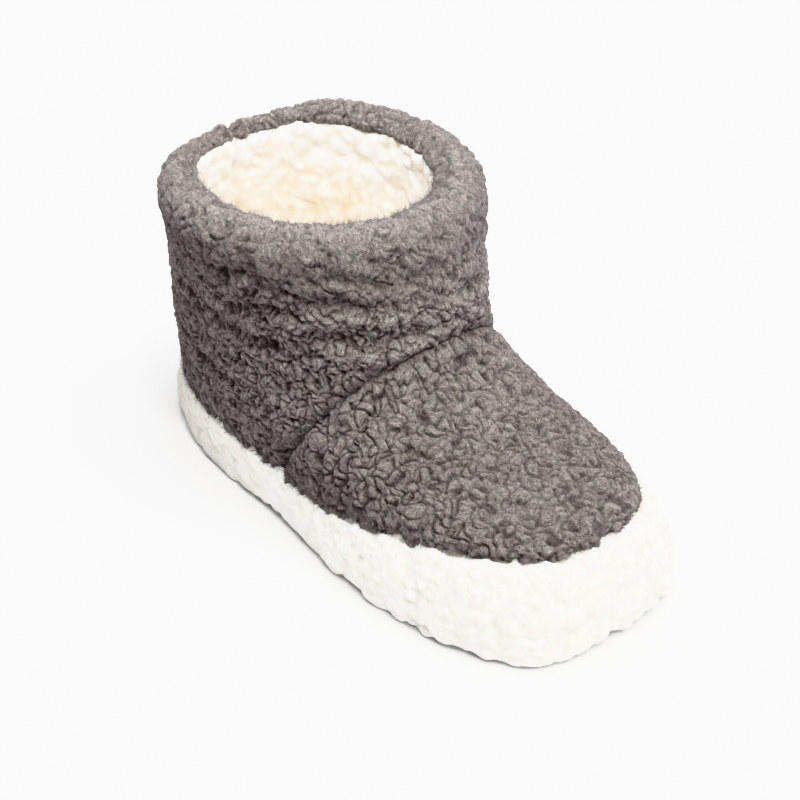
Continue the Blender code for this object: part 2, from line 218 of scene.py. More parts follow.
# Loose fibres on a piece: how many, how long and thick, in how many lengths each is bent, and how far
# they stand up
Fuzz = namedtuple("Fuzz", "count length thickness bends upright")
SHAFT_FUZZ = Fuzz(20000, 1.6, 0.18, 1, 0.7)
COLLAR_FUZZ = Fuzz(14000, 2.0, 0.16, 1, 0.8)
COLLAR_HAIRS = Fuzz(4200, 3.5, 0.13, 3, 0.8)
VAMP_FUZZ = Fuzz(17000, 1.6, 0.18, 1, 0.7)
BAND_FUZZ = Fuzz(8000, 1.7, 0.20, 1, 0.8)
LINING_FUZZ = Fuzz(3000, 1.8, 0.20, 1, 0.8)
SHAFT_HEM_HAIRS = Fuzz(1700, 2.6, 0.20, 2, 1.0)
VAMP_HEM_HAIRS = Fuzz(2000, 2.6, 0.20, 2, 1.0)

# Where fibres grow, and the form of each
FRINGE = (0.54, 0.84)  # share of the collar's roll that its hairs stand on, from outside to inside
FIBRE_CLEARANCE = 3.0  # no fibre grows lower than this over the floor
FIBRE_ROOT = 0.3  # how deep a fibre starts under the face
FIBRE_LEAN = 0.7  # how far it leans the way its lock lies
FIBRE_STRAY = 0.6  # how far it strays from that way
FIBRE_LENGTHS = (0.5, 1.4)  # the shortest and the longest, as shares of the length
FIBRE_CURL = 0.35  # how far each of its bends takes it aside, as a share of its length
FIBRE_TAPER = 0.6  # how much of its thickness it loses
FIBRE_TONES = (0.7, 1.1)  # how light fibres are against the pile they stand on
FIBRE_DARKEST = 0.35  # how light a fibre in a cleft is, as painted shade

# How light the grey pile is, against its lightest: on the vamp, and at places up the tube, where it
# is painted shade low on the shaft, darker just under the collar's roll, and lighter on the brushed
# collar, partly as painted light
VAMP_TONE = 0.56
TUBE_TONE_AND_SHADE_PLACES = (0.0, 3.0, 7.0, 8.4, 9.2, 9.8)
TUBE_TONES_AND_SHADE = (0.54, 0.64, 0.64, 0.36, 0.50, 0.84)

# Painted shade of all pile: how light it is in clefts, and where a seam or a fold draws it in
DARK_TO, LIT_FROM = 0.05, 0.7  # share of a lock's height where it is fully dark and fully light
LOCK_DARKEST, CLUMP_DARKEST = 0.2, 0.75
RELIEF_SHADE = 0.16  # how much darker it is for each millimetre that it is drawn in
RELIEF_SHADE_LIMITS = (0.35, 1.05)  # the darkest and the lightest that this makes it

# Colour of the lining and the band, which paints shade in their clefts, deep in the lining and at the
# band's heel
LINING_CLEAR = 0.45  # how far the clefts of the lining go to its darker colour, as painted shade, next to the collar
DEEP_FROM, DEEP_TO, DEEP_SHADE = 122.0, 96.0, 0.25  # heights over which the lining darkens deeper in, as painted shade, and how far
BAND_CLEFT_SHADE = 0.15  # how far the clefts of the band go to its darker colour, as painted shade
BAND_HEEL_SHADE = 0.9  # how far the band goes to that darker colour at the heel, as painted shade
BAND_SHADE_STRETCH = (10.0, 110.0)  # stretch behind the middle over which it does
BAND_CALM = 0.5  # how lumpy the band is at the heel, against the toe
LUMPY_FROM, LUMPY_TO = -20.0, 80.0  # stretch along the foot over which that changes

# Looks of the pile: colour in the clefts, which is painted shade, and on top, how much the fibres
# differ, and how much light goes into it
Look = namedtuple("Look", "cleft top contrast glow")
GREY_LOOK = Look((0.040, 0.032, 0.029), (0.212, 0.186, 0.178), 0.85, 0.0)
WHITE_LOOK = Look((0.60, 0.565, 0.515), (0.89, 0.87, 0.83), 0.05, 0.5)
CREAM_LOOK = Look((0.95, 0.80, 0.60), (0.98, 0.97, 0.95), 0.04, 0.5)
FELT_DARK, FELT_LIGHT = (0.44, 0.42, 0.40), (0.56, 0.54, 0.52)

# Camera, floor and lights
CAMERA_AZIMUTH, CAMERA_ELEVATION = 49.03, 32.86
CAMERA_TARGET = (16.28, -13.32, 62.7)
CAMERA_DISTANCE = 909.75
CAMERA_LENS, SENSOR = 101.1, 36.0
FLOOR_HALF = 6000.0
FLOOR_COLOUR = (0.72, 0.72, 0.72, 1.0)
FLOOR_ROUGHNESS = 0.9
LAMP_DISTANCE, SPOT_DISTANCE = 1000.0, 800.0
SPOT_RADIUS = 60.0
SKY_STRENGTH = 0.38


def smooth_share(value, low, high):
    """0 below low, 1 above high, and an even S-curve between them."""
    share = np.clip((value - low) / (high - low), 0.0, 1.0)
    return share * share * (3.0 - 2.0 * share)


def toe_lift(along):
    """How far the upper's lower edge rises towards the toe."""
    return EDGE_TOE_LIFT * smooth_share(along, LIFT_FROM, LIFT_TO)


def back_dip(along):
    """How far the collar dips at the heel."""
    return BACK_DIP * smooth_share(-along, -DIP_FROM, -DIP_TO)


def ground(along):
    """Height of the walking face over the floor."""
    middle = (ARCH_FROM + ARCH_TO) / 2
    arch = smooth_share(along, ARCH_FROM, middle) - smooth_share(along, middle, ARCH_TO)
    spring = np.maximum(0.0, (along - SPRING_FROM) / (LENGTH / 2 - SPRING_FROM))
    return ARCH_LIFT * arch + TOE_SPRING * spring**2


def mix(first, second, share):
    """Row of a table part of the way from one to another. Its columns may be arrays."""
    return type(first)(*(a + (b - a) * share for a, b in zip(first, second)))


def rows_of(grids, part):
    """Some rows of each grid in a tuple of them."""
    return type(grids)(*(grid[part] for grid in grids))


def inset(section, amount):
    """Section drawn in by an amount all round."""
    return section._replace(
        heel=section.heel + amount, toe=section.toe - amount, half=section.half - amount
    )


def between(rows, places):
    """Sections at fractional rows of a table, on a smooth curve through its rows."""
    table = np.array(rows)
    table = np.vstack([2.0 * table[0] - table[1], table, 2.0 * table[-1] - table[-2]])
    first = np.clip(places.astype(int), 0, len(rows) - 2)
    share = (places - first)[:, None]
    before, low, high, after = (table[first + step] for step in range(4))
    bend = (1.0 - share) * (before + high - 2.0 * low) + share * (low + after - 2.0 * high)
    return Section(*(low + (high - low) * share - share * (1.0 - share) * bend / 2.0).T)


def choose(places, *stretches):
    """Sections along a profile made of stretches, each given with the place where it ends."""
    columns = []
    for parts in zip(*(section for section, _ in stretches)):
        column = parts[-1]
        for part, (_, end) in zip(parts[-2::-1], stretches[-2::-1]):
            column = np.where(places < end, part, column)
        columns.append(column)
    return Section(*columns)


def wall_sections(places):
    """Sections of the upper's wall at places along its profile."""
    outside = between(UPPER_OUTSIDE, np.clip(places, 0.0, ROLL_PLACE))
    turn = math.pi * np.clip(places - ROLL_PLACE, 0.0, 1.0)
    roll = mix(UPPER_OUTSIDE[-1], UPPER_INSIDE[-1], (1.0 - np.cos(turn)) / 2.0)
    rise = (COLLAR_HEIGHT - COLLAR_SPRING) * np.sin(turn)
    roll = roll._replace(height=COLLAR_SPRING + rise)
    inside = between(UPPER_INSIDE, np.clip(FLOOR_PLACE - places, 0.0, FLOOR_PLACE - LIP_PLACE))
    sunk = np.clip(places - FLOOR_PLACE, 0.0, 1.0)
    drop = EDGE_HEIGHT - OUTSOLE_THICKNESS - GAP - INSOLE_THICKNESS / 2.0
    inside = inside._replace(height=inside.height - drop * sunk, lift=inside.lift * (1.0 - sunk))
    return choose(places, (outside, ROLL_PLACE), (roll, LIP_PLACE), (inside, None))


def band_sections(places):
    """Sections of the band at places along its profile."""
    ledge = inset(UPPER_OUTSIDE[0], LEDGE_INSET)._replace(height=EDGE_HEIGHT - LEDGE_DROP)
    behind = inset(UPPER_OUTSIDE[0], BEHIND_INSET)._replace(height=EDGE_HEIGHT + BEHIND_RISE)
    foot = inset(BAND_OUTLINE, BAND_UNDERCUT)._replace(height=BAND_FOOT)
    rim = inset(BAND_OUTLINE, BAND_RIM - GAP)._replace(height=BAND_FOOT)
    top = mix(behind, ledge, np.clip(places, 0.0, LEDGE_PLACE))
    turn = math.pi / 2.0 * np.clip(BULGE_PLACE - places, 0.0, 1.0)
    shoulder = mix(BAND_OUTLINE, ledge, 1.0 - np.cos(turn))
    climb = (ledge.height - BAND_BULGE_HEIGHT) * np.sin(turn)
    shoulder = shoulder._replace(height=BAND_BULGE_HEIGHT + climb, lift=np.sin(turn))
    turn = math.pi / 2.0 * np.clip(places - BULGE_PLACE, 0.0, 1.0)
    under = mix(BAND_OUTLINE, foot, 1.0 - np.cos(turn))
    drop = (BAND_BULGE_HEIGHT - BAND_FOOT) * np.sin(turn)
    under = under._replace(height=BAND_BULGE_HEIGHT - drop)
    below = mix(foot, rim, np.clip(places - FOOT_PLACE, 0.0, 1.0))
    stretches = (top, LEDGE_PLACE), (shoulder, BULGE_PLACE), (under, FOOT_PLACE), (below, None)
    return choose(places, *stretches)


def ring_points(section, angles):
    """Points of each section at its row of angles: 0 at the heel, half a turn at the toe."""
    rows = Section(*(np.asarray(column, float)[..., None] for column in section))
    share = (1.0 - np.cos(angles)) / 2.0
    along = rows.heel + share * (rows.toe - rows.heel)
    side = np.sin(angles)
    square = rows.square_heel + (rows.square_toe - rows.square_heel) * share
    waist = np.where(side >= 0.0, rows.waist_lateral, rows.waist_medial)
    pinch = waist * np.exp(-(((share - WAIST_AT) / WAIST_SPREAD) ** 2))
    profile = np.abs(side) ** square * (1.0 - rows.taper * np.cos(angles)) * (1.0 - pinch)
    across = np.sign(side) * rows.half * profile
    height = rows.height + rows.lift * toe_lift(along) - rows.dip * back_dip(along)
    return np.stack([along, across, height], -1)


def line_on(sections, places, angles):
    """Points on a profile, each at a place and an angle."""
    return ring_points(sections(places), np.broadcast_to(angles, places.shape)[:, None])[:, 0]


def lengths_along(path):
    """Distance travelled at each point of a path."""
    steps = np.linalg.norm(np.diff(path, axis=0), axis=1)
    return np.concatenate([[0.0], np.cumsum(steps)])


def even_places(sections, first, last, pitch, angle):
    """Places on a profile that lie a pitch apart, measured up one side of it."""
    dense = np.linspace(first, last, PROFILE_STEPS)
    travelled = lengths_along(line_on(sections, dense, angle))
    count = int(travelled[-1] / pitch) + 1
    return np.interp(np.linspace(0.0, travelled[-1], count), travelled, dense)


def even_angles(section, starts, ends, count):
    """Angles that lie evenly along each section, between a start and an end for each."""
    turns = np.linspace(0.0, 1.0, ROUND_STEPS)
    rows = []
    for row, (start, end) in enumerate(zip(starts, ends)):
        dense = start + (end - start) * turns
        travelled = lengths_along(ring_points(rows_of(section, row), dense))
        rows.append(np.interp(np.linspace(0.0, travelled[-1], count), travelled, dense))
    return np.array(rows)


def round_grid(section, count):
    """Grid of points all round each section, from toe to toe."""
    turns = np.full(len(section.height), TOE)
    return ring_points(section, even_angles(section, -turns, turns, count))


def panel_grid(section, start, lows, highs, count):
    """Grid of angles and points on the part of each section between two angles, and the column that
    each point is kept as. All the columns beyond an angle are gathered on it and kept as one."""
    starts = np.full(len(lows), start)
    angles = even_angles(section, starts, starts + 2.0 * math.pi, count)
    first = (angles <= lows[:, None]).sum(1) - 1
    last = count - (angles >= highs[:, None]).sum(1)
    keep = np.clip(np.arange(count), first[:, None], np.minimum(last, count - 1)[:, None])
    angles = np.clip(angles, lows[:, None], highs[:, None])
    return angles, ring_points(section, angles), keep


def all_columns(points):
    """Columns of a grid that goes all round, each kept as itself."""
    return np.broadcast_to(np.arange(points.shape[1]), points.shape[:2])


def seam_angles(section, raised=0.0):
    """Angle of the vamp seam on each section, half a turn above the seam's top. The seam may be
    raised by an amount."""
    height = np.asarray(section.height) - raised
    along = np.interp(height, SEAM_HEIGHT, SEAM_ALONG)
    reach = np.clip((along - section.heel) / (section.toe - section.heel), 0.0, 1.0)
    return np.where(height >= SEAM_HEIGHT[-1], TOE, np.arccos(1.0 - 2.0 * reach))


def seam_line():
    """Points along the vamp seam, up one side and up the other."""
    places = np.linspace(0.0, SEAM_TOP_PLACE, SEAM_STEPS)
    seam = seam_angles(wall_sections(places))
    return np.concatenate([line_on(wall_sections, places, side * seam) for side in (-1.0, 1.0)])


def back_line(first, last, count):
    """Points down the back of the upper's wall, between two places."""
    return line_on(wall_sections, np.linspace(first, last, count), HEEL)


def grid_normals(points):
    """Unit normals of a grid of points, outwards where its rows climb."""
    normals = np.cross(np.gradient(points, axis=0), np.gradient(points, axis=1))
    joined = np.linalg.norm(points[:, 0] - points[:, -1], axis=-1) < SAME_POINT
    shared = normals[:, 0] + normals[:, -1]
    normals[joined, 0] = shared[joined]
    normals[joined, -1] = shared[joined]
    size = np.linalg.norm(normals, axis=-1, keepdims=True)
    return normals / np.maximum(size, LEAST_LENGTH)


def scatter(points, spacing, rng):
    """Numbers of points picked at random, none closer to another than the spacing."""
    cells = {}
    picked = []
    for number in rng.permutation(len(points)):
        point = points[number]
        home = tuple(int(value // spacing) for value in point)
        around = itertools.product(*((step - 1, step, step + 1) for step in home))
        near = (other for cell in around for other in cells.get(cell, ()))
        if all(((point - points[other]) ** 2).sum() > spacing**2 for other in near):
            cells.setdefault(home, []).append(number)
            picked.append(number)
    return np.array(picked)


def tree_of(points):
    """Search tree over points."""
    tree = KDTree(len(points))
    for number, point in enumerate(points):
        tree.insert(point, number)
    tree.balance()
    return tree


def distance_to(points, line):
    """Distance of each point of a grid from the nearest point of a line."""
    tree = tree_of(line)
    flat = points.reshape(-1, 3)
    return np.array([tree.find(point)[2] for point in flat]).reshape(points.shape[:2])


def waves(points, length, rng):
    """A smooth random field of about unit height, with swells of about a given length."""
    ways = rng.normal(size=(WAVE_COUNT, 3))
    ways *= rng.uniform(*WAVE_RANGE, (WAVE_COUNT, 1)) / np.linalg.norm(ways, axis=1, keepdims=True)
    starts = rng.uniform(0.0, 2.0 * math.pi, WAVE_COUNT)
    swells = np.sin(points @ ways.T * (2.0 * math.pi / length) + starts)
    return swells.sum(-1) / math.sqrt(WAVE_COUNT / 2.0)


Locks = namedtuple("Locks", "height shade local along")


def grow_locks(points, normals, flow, pile, rng):
    """The pile on a grid: how far each point is raised by the lock it lies on, how light it is as
    painted shade, from 0 in a cleft to 1 on top, its place along and across the lock, and the lock's
    direction."""
    shape = points.shape[:2]
    flat = points.reshape(-1, 3)
    roots = scatter(flat, float(np.min(pile.spacing)), rng)
    pile = Pile(*(np.broadcast_to(column, shape).ravel()[roots] for column in pile))
    centres, up = flat[roots], normals.reshape(-1, 3)[roots]
    lie = flow.reshape(-1, 3)[roots]
    lie = lie - up * (lie * up).sum(1, keepdims=True)
    lie /= np.linalg.norm(lie, axis=1, keepdims=True)
    turn = (pile.tangle * rng.uniform(-1.0, 1.0, len(roots)))[:, None]
    lie = lie * np.cos(turn) + np.cross(up, lie) * np.sin(turn)
    across = np.cross(up, lie)
    size = 1.0 + pile.spread[:, None] * rng.uniform(-1.0, 1.0, (len(roots), 3))
    bow = LOCK_BOW * rng.uniform(-1.0, 1.0, len(roots))
    mood = rng.uniform(0.0, 1.0, len(roots))
    tree = tree_of(centres)
    close = np.array([[hit[1] for hit in tree.find_n(point, NEAR_LOCKS)] for point in flat])
    width = pile.width.mean()
    warp = np.stack([waves(flat, WARP_SWELL * width, rng) for _ in range(3)], -1)
    offset = (flat + LOCK_WARP * width * warp)[:, None] - centres[close]
    half_length = (pile.length / 2.0 * size[:, 0])[close]
    half_width = (pile.width / 2.0 * size[:, 1])[close]
    u = (offset * lie[close]).sum(-1)
    v = (offset * across[close]).sum(-1) + bow[close] * u**2 / half_length
    w = (offset * up[close]).sum(-1)
    reach = (u / half_length) ** 2 + (v / half_width) ** 2 + (w / half_width) ** 2
    lift = (pile.height * (1.0 - HEIGHT_RANGE + HEIGHT_RANGE * size[:, 2]))[close]
    dome = lift * np.clip(1.0 - reach, 0.0, 1.0) ** DOME_POWER
    every = np.arange(len(flat))
    order = np.argsort(dome, axis=1)
    best, second = order[:, -1], order[:, -2]
    own, other = close[every, best], close[every, second]
    top = dome[every, best]
    gap = (top - dome[every, second]) / (CLEFT_WIDTH * pile.height[own])
    cleft = np.exp(-(gap**2)) * (CLEFT_LEAST + CLEFT_RANGE * np.abs(mood[own] - mood[other]))
    height = top - cleft * pile.cleft[own]
    lit = np.clip(top / pile.height[own], 0.0, 1.0)
    shade = lit * (1.0 - pile.cleft[own] * np.clip(cleft, 0.0, 1.0))
    local = np.stack([u[every, best], v[every, best], own * LOCK_SEED_STEP], -1)
    fields = (height, shade, local, lie[own])
    return Locks(*(field.reshape(*shape, *field.shape[1:]) for field in fields))


def grow_pile(points, normals, flow, clumps, locks, rng):
    """Locks on clumps. The height is counted from the pile's mean level."""
    under = grow_locks(points, normals, flow, clumps, rng)
    over = grow_locks(points, normals, under.along, locks, rng)
    height = under.height + over.height
    # Painted shade: the pile is darker low on each lock and on each clump
    lock_shade = LOCK_DARKEST + (1.0 - LOCK_DARKEST) * smooth_share(over.shade, DARK_TO, LIT_FROM)
    clump_shade = CLUMP_DARKEST + (1.0 - CLUMP_DARKEST) * smooth_share(under.shade, 0.0, LIT_FROM)
    return Locks(height - height.mean(), lock_shade * clump_shade, over.local, over.along)


def soften(locks, passes):
    """Locks that melt into each other, on a grid that goes all round."""
    fields = []
    for field in (locks.height, locks.shade):
        field = field[:, :-1].copy()
        for _ in range(passes):
            field = (np.roll(field, 1, 1) + 2.0 * field + np.roll(field, -1, 1)) / 4.0
            field[1:-1] = (field[:-2] + 2.0 * field[1:-1] + field[2:]) / 4.0
        fields.append(np.concatenate([field, field[:, :1]], 1))
    return locks._replace(height=fields[0], shade=fields[1])


def shadow(locks, relief):
    """Locks with painted shade where a seam or a fold draws them in."""
    return locks._replace(shade=locks.shade * np.clip(1.0 + RELIEF_SHADE * relief, *RELIEF_SHADE_LIMITS))


def tuck(distance, groove):
    """How far an edge is drawn into its seam, from the distance to it."""
    return -groove.depth * np.clip(1.0 - distance / groove.width, 0.0, 1.0) ** 2


def fold(distance, groove):
    """A soft trough with a low ridge along each side of it."""
    trough = -groove.depth * np.exp(-((distance / groove.width) ** 2))
    ridge = RIDGE_HEIGHT * groove.depth * np.exp(-((distance / groove.width - RIDGE_PLACE) ** 2))
    return trough + ridge


def crease_relief(base):
    """The listed folds of the shaft."""
    relief = np.zeros(base.shape[:2])
    for crease in CREASES:
        degrees, levels = zip(*crease.points)
        points = range(len(levels))
        steps = np.linspace(0.0, points[-1], CREASE_STEPS)
        turns = np.interp(steps, points, np.radians(degrees))
        heights = np.interp(steps, points, levels)
        places = np.interp(heights, OUTSIDE_HEIGHTS, range(len(OUTSIDE_HEIGHTS)))
        relief += fold(distance_to(base, line_on(wall_sections, places, turns)), crease)
    return relief


def hem(base, pitch, rng):
    """How far a lower edge hangs below its straight line, raggedly, on the rows next to it."""
    feet = seam_line().reshape(2, -1, 3)[:, 0]
    nick = NICK_HEIGHT * np.exp(-((distance_to(base[:1], feet)[0] / NICK_WIDTH) ** 2))
    fade = np.clip(1.0 - np.arange(len(base)) * pitch / HEM_DEPTH, 0.0, 1.0)[:, None]
    return fade * (HEM_DROP + HEM_DROP * waves(base[0], HEM_SWELL, rng) - nick)


def add_object(name, points, faces):
    """Object from points in millimetres, with its faces turned outwards."""
    mesh = bpy.data.meshes.new(name)
    mesh.from_pydata((points * MM).tolist(), [], faces)
    solid = bmesh.new()
    solid.from_mesh(mesh)
    bmesh.ops.recalc_face_normals(solid, faces=solid.faces[:])
    solid.to_mesh(mesh)
    solid.free()
    mesh.shade_smooth()
    obj = bpy.data.objects.new(name, mesh)
    bpy.context.scene.collection.objects.link(obj)
    return obj


def store(obj, shade, local):
    """Keep with each vertex how light the pile is there as painted shade, and its place on its lock.
    """
    field = obj.data.attributes.new("shade", "FLOAT", "POINT")
    field.data.foreach_set("value", np.ascontiguousarray(shade, np.float32).ravel())
    field = obj.data.attributes.new("lock", "FLOAT_VECTOR", "POINT")
    field.data.foreach_set("vector", np.ascontiguousarray(local, np.float32).ravel())


def crisp_rows(obj, rows):
    """Keep the shading of a face from running round the edge along each row of vertices."""
    sharp = [any(row.issuperset(edge.vertices) for row in rows) for edge in obj.data.edges]
    obj.data.edges.foreach_set("use_edge_sharp", sharp)


# Face of a fleece piece: grids of the points that show and of points behind them inside the wall,
# normals, the column that each point is kept as, and the pile
Face = namedtuple("Face", "front back normals keep shade local along")


def raised_face(base, normals, keep, locks, raised, depth):
    """Face with its points raised from a base, and its back at a depth inside it."""
    front = base + normals * raised[..., None]
    return Face(front, base - depth * normals, normals, keep, locks.shade, locks.local, locks.along)


def shell(name, face, back_count, closed_from):
    """Closed object from a face and a few rows of its back. From one row on, the last column is the
    first. Where it isn't, a wall closes each side."""
    rows, columns = face.front.shape[:2]
    stops = np.linspace(0, rows - 1, back_count).astype(int).tolist()
    back_rows = sorted({*stops, min(closed_from, rows - 1)})
    points = np.concatenate([face.front.reshape(-1, 3), face.back[back_rows].reshape(-1, 3)])
    ids = np.arange(rows)[:, None] * columns + face.keep
    back_ids = (rows + np.arange(len(back_rows)))[:, None] * columns + face.keep[back_rows]
    ids[closed_from:, -1] = ids[closed_from:, 0]
    closed = np.array(back_rows) >= closed_from
    back_ids[closed, -1] = back_ids[closed, 0]
    loop = np.concatenate([ids, back_ids[::-1], ids[:1]])
    used = np.unique(loop)
    renumber = np.zeros(len(points), int)
    renumber[used] = np.arange(len(used))
    quads = np.stack([loop[:-1, :-1], loop[:-1, 1:], loop[1:, 1:], loop[1:, :-1]], -1)
    corners = (list(dict.fromkeys(quad)) for quad in renumber[quads.reshape(-1, 4)].tolist())
    faces = [corner for corner in corners if len(corner) > 2]
    for order, (low, high) in enumerate(zip(back_rows, back_rows[1:])):
        if high > closed_from:
            break
        for column in (0, -1):
            side = [*ids[low : high + 1, column], back_ids[order + 1, column], back_ids[order, column]]
            faces.append(renumber[side].tolist())
    obj = add_object(name, points[used], faces)
    crisp_rows(obj, [set(renumber[ids[row]].tolist()) for row in (0, -1)])
    shade = np.zeros(len(points))
    shade[: rows * columns] = face.shade.ravel()
    local = np.zeros((len(points), 3))
    local[: rows * columns] = face.local.reshape(-1, 3)
    store(obj, shade[used], local[used])
    return obj


def slab(name, rings, shade, local):
    """Closed object from a stack of rings, each joined to the next, with both ends filled."""
    rings = rings[:, :-1]
    rows, columns = rings.shape[:2]
    ids = np.arange(rows * columns).reshape(rows, columns)
    after = np.roll(ids, -1, axis=1)
    quads = np.stack([ids[:-1], after[:-1], after[1:], ids[1:]], -1).reshape(-1, 4)
    faces = quads.tolist() + [ids[0].tolist(), ids[-1].tolist()]
    obj = add_object(name, rings.reshape(-1, 3), faces)
    store(obj, shade[:, :-1], local[:, :-1])
    return obj


def spike_faces(bends):
    """Faces of one fibre, on three corners for each of its lengths and one for its tip."""
    faces = [(0, 2, 1)]
    last = 3 * bends - 3
    for low in range(0, last, 3):
        for i in range(3):
            j = (i + 1) % 3
            faces += [(low + i, low + j, low + 3 + j), (low + i, low + 3 + j, low + 3 + i)]
    return faces + [(last + i, last + (i + 1) % 3, last + 3) for i in range(3)]


def fuzz(name, face, kind, rng):
    """Loose fibres on a face, as one mesh of slim closed spikes."""
    count, front = kind.count, face.front
    sides = np.cross(front[1:, :-1] - front[:-1, :-1], front[:-1, 1:] - front[:-1, :-1])
    clear = front[:-1, :-1, 2] > FIBRE_CLEARANCE
    area = (np.linalg.norm(sides, axis=-1) * clear).ravel()
    cell = rng.choice(len(area), count, p=area / area.sum())
    row, column = np.divmod(cell, front.shape[1] - 1)
    share = rng.uniform(0.0, 1.0, (count, 1))
    up = face.normals[row, column]
    root = front[row, column] * (1.0 - share) + front[row + 1, column + 1] * share - up * FIBRE_ROOT
    flip = rng.choice((-1.0, 1.0), (count, 1))
    lean = face.along[row, column] * flip + rng.normal(0.0, FIBRE_STRAY, (count, 3))
    aim = up * kind.upright + lean * FIBRE_LEAN
    aim /= np.linalg.norm(aim, axis=1, keepdims=True)
    reach = kind.length * rng.uniform(*FIBRE_LENGTHS, (count, 1))
    sideways = np.cross(aim, rng.normal(size=(count, 3)))
    sideways /= np.maximum(1.0, np.linalg.norm(sideways, axis=1, keepdims=True))
    curl = sideways * reach * FIBRE_CURL * kind.bends
    across = np.cross(aim, rng.normal(size=(count, 3)))
    across *= kind.thickness / 2.0 / np.linalg.norm(across, axis=1, keepdims=True)
    turned = np.cross(aim, across)
    corners = []
    for bend in range(kind.bends):
        step = bend / kind.bends
        middle = root + aim * reach * step + curl * step**2
        thin = 1.0 - FIBRE_TAPER * step
        for turn in (0.0, 2.0 * math.pi / 3.0, 4.0 * math.pi / 3.0):
            corners.append(middle + thin * (across * math.cos(turn) + turned * math.sin(turn)))
    corners.append(root + aim * reach + curl)
    points = np.stack(corners, 1)
    start = points.shape[1] * np.arange(count)
    faces = start[:, None, None] + np.array(spike_faces(kind.bends))[None]
    obj = add_object(name, points.reshape(-1, 3), faces.reshape(-1, 3).tolist())
    # Painted shade: each fibre takes the shade of the pile under it, darker in clefts
    lit = (FIBRE_DARKEST + (1.0 - FIBRE_DARKEST) * face.shade[row, column])[:, None]
    shade = np.repeat(rng.uniform(*FIBRE_TONES, (count, 1)) * lit, points.shape[1], axis=1)
    store(obj, shade, points)
    return obj


def hem_rows(face, cover):
    """Rows of a face next to its lower edge."""
    return rows_of(face, slice(0, int(HEM_DEPTH / cover.pitch)))


def tube():
    """The grey tube round the ankle, with the vamp cut out of it, and its rolled collar."""
    rng = np.random.default_rng(TUBE.seed)
    places = even_places(wall_sections, 0.0, TUBE_END, TUBE.pitch, MEDIAL)
    section = wall_sections(places)
    seam = seam_angles(section)
    _, base, keep = panel_grid(section, -TOE, -seam, seam, TUBE.columns)
    base[..., 2] -= hem(base, TUBE.pitch, rng)
    normals = np.take_along_axis(grid_normals(base), keep[..., None], 1)
    rolled = smooth_share(places, ROLLED_FROM, ROLLED_TO)[:, None]
    level = np.cross(normals, UP)
    flow = level * (1.0 - rolled[..., None]) + np.gradient(base, axis=0) * rolled[..., None]
    clumps = mix(SHAFT_CLUMPS, COLLAR_CLUMPS, rolled)
    locks = grow_pile(base, normals, flow, clumps, mix(SHAFT_LOCKS, COLLAR_LOCKS, rolled), rng)
    # Up the tube: painted shade low on the shaft, darker just under the roll, lighter on the collar
    tone_and_shade = np.interp(places, TUBE_TONE_AND_SHADE_PLACES, TUBE_TONES_AND_SHADE)[:, None]
    locks = locks._replace(shade=locks.shade * tone_and_shade)
    relief = tuck(distance_to(base, seam_line()), VAMP_SEAM) + crease_relief(base)
    relief += fold(distance_to(base, back_line(0.0, LIP_PLACE, TUBE_BACK_STEPS)), BACK_SEAM)
    # Painted shade: darker along the vamp seam, the back seam and the folds
    locks = shadow(locks, relief)
    relief += tuck(distance_to(base, base[-1]), COLLAR_LIP)
    face = raised_face(base, normals, keep, locks, locks.height + relief, TUBE.depth)
    seam_top = int(np.argmax(seam >= TOE))
    split = int(np.argmax(places >= COLLAR_START))
    pieces = []
    for name, kind, low, high in (
        ("shaft", SHAFT_FUZZ, 0, split),
        ("collar", COLLAR_FUZZ, split, len(places) - 1),
    ):
        part = rows_of(face, slice(low, high + 1))
        pieces.append(shell(name + "_fleece", part, TUBE.back_rows, max(0, seam_top - low)))
        pieces.append(fuzz(name + "_fuzz", part, kind, rng))
    crest = slice(*(int(np.argmax(places >= ROLL_PLACE + turn)) for turn in FRINGE))
    pieces.append(fuzz("collar_hair_fuzz", rows_of(face, crest), COLLAR_HAIRS, rng))
    pieces.append(fuzz("shaft_hem_fuzz", hem_rows(face, TUBE), SHAFT_HEM_HAIRS, rng))
    return pieces


def vamp():
    """The grey panel over the toes and instep. Its edge runs on under the shaft."""
    rng = np.random.default_rng(VAMP.seed)
    places = even_places(wall_sections, 0.0, VAMP_END, VAMP.pitch, TOE)
    section = wall_sections(places)
    edge = seam_angles(section, SEAM_OVERLAP)
    angles, base, keep = panel_grid(section, HEEL, edge, 2.0 * math.pi - edge, VAMP.columns)
    base[..., 2] -= hem(base, VAMP.pitch, rng)
    normals = np.take_along_axis(grid_normals(base), keep[..., None], 1)
    ahead = np.cross(normals, LEFT)
    locks = grow_pile(base, normals, ahead, VAMP_CLUMPS, VAMP_LOCKS, rng)
    locks = locks._replace(shade=locks.shade * VAMP_TONE)
    seam = seam_angles(section)[:, None]
    under = (angles < seam) | (angles > 2.0 * math.pi - seam)
    distance = distance_to(base, seam_line())
    sunk = -VAMP_SEAM.depth - UNDERLAP_SLOPE * distance
    relief = np.where(under, sunk, tuck(distance, VAMP_SEAM))
    # Painted shade: darker along the seam, most where the vamp runs on under the shaft
    locks = shadow(locks, relief)
    face = raised_face(base, normals, keep, locks, locks.height + relief, VAMP.depth)
    return [
        shell("vamp_fleece", face, VAMP.back_rows, len(places)),
        fuzz("vamp_fuzz", face, VAMP_FUZZ, rng),
        fuzz("vamp_hem_fuzz", hem_rows(face, VAMP), VAMP_HEM_HAIRS, rng),
    ]


